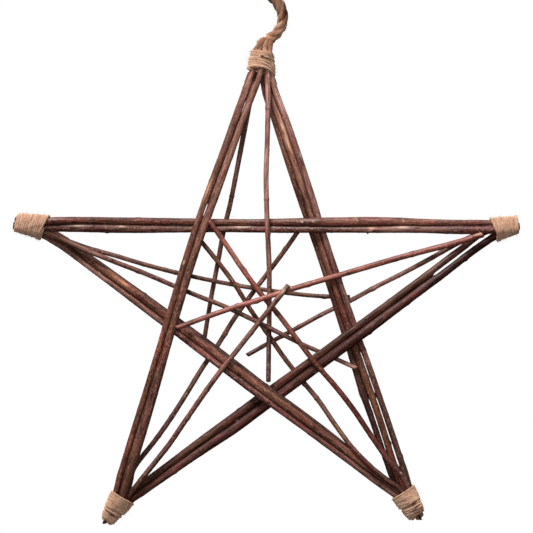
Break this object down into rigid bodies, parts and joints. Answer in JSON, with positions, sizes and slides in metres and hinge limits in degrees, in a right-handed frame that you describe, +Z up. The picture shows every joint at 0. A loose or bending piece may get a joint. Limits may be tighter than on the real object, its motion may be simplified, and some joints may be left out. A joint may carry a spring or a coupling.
{
  "type": "hanging twig star",
  "caption": "Open star of crossed willow rods with thin twigs across the middle, bound at its points with twine and hung from a rope loop.",
  "frame": {"origin": "inside the top of the rope loop, where a hook or nail carries the star", "axes": "+X to the star's right point as the viewer sees it, +Y to the back, +Z up along the hang; the front faces -Y"},
  "size_m": [0.559, 0.0614, 0.5996],
  "materials": {
    "bark": "dark red-brown willow bark, satin",
    "twig_bark": "redder bark of thin willow twigs, satin",
    "jute_twine": "light tan jute twine, matt and hairy",
    "jute_rope": "brown three-strand rope, matt and hairy"
  },
  "bodies": {
    "root": {"crossbar_upper": "bark", "crossbar_lower": "bark", "upper_left_outer": "bark", "upper_left_inner": "bark", "upper_right_inner": "bark", "upper_right_middle": "bark", "upper_right_outer": "bark", "lower_right_upper": "bark", "lower_right_lower": "bark", "lower_right_hidden": "bark", "lower_left_upper": "bark", "lower_left_lower": "bark", "twig_top_short": "twig_bark", "twig_top_long": "twig_bark", "twig_left_upper": "twig_bark", "twig_left_lower": "twig_bark", "twig_right_upper": "twig_bark", "twig_right_lower": "twig_bark", "twig_lower_right_outer": "twig_bark", "twig_lower_right_inner": "twig_bark", "twig_lower_left_outer": "twig_bark", "twig_lower_left_inner": "twig_bark", "twine_binding_top": "jute_twine", "twine_binding_left": "jute_twine", "twine_binding_right": "jute_twine", "twine_binding_lower_left": "jute_twine", "twine_binding_lower_right": "jute_twine", "rope_ends": "jute_rope", "rope_loop": "jute_rope"}
  },
  "joints": []
}
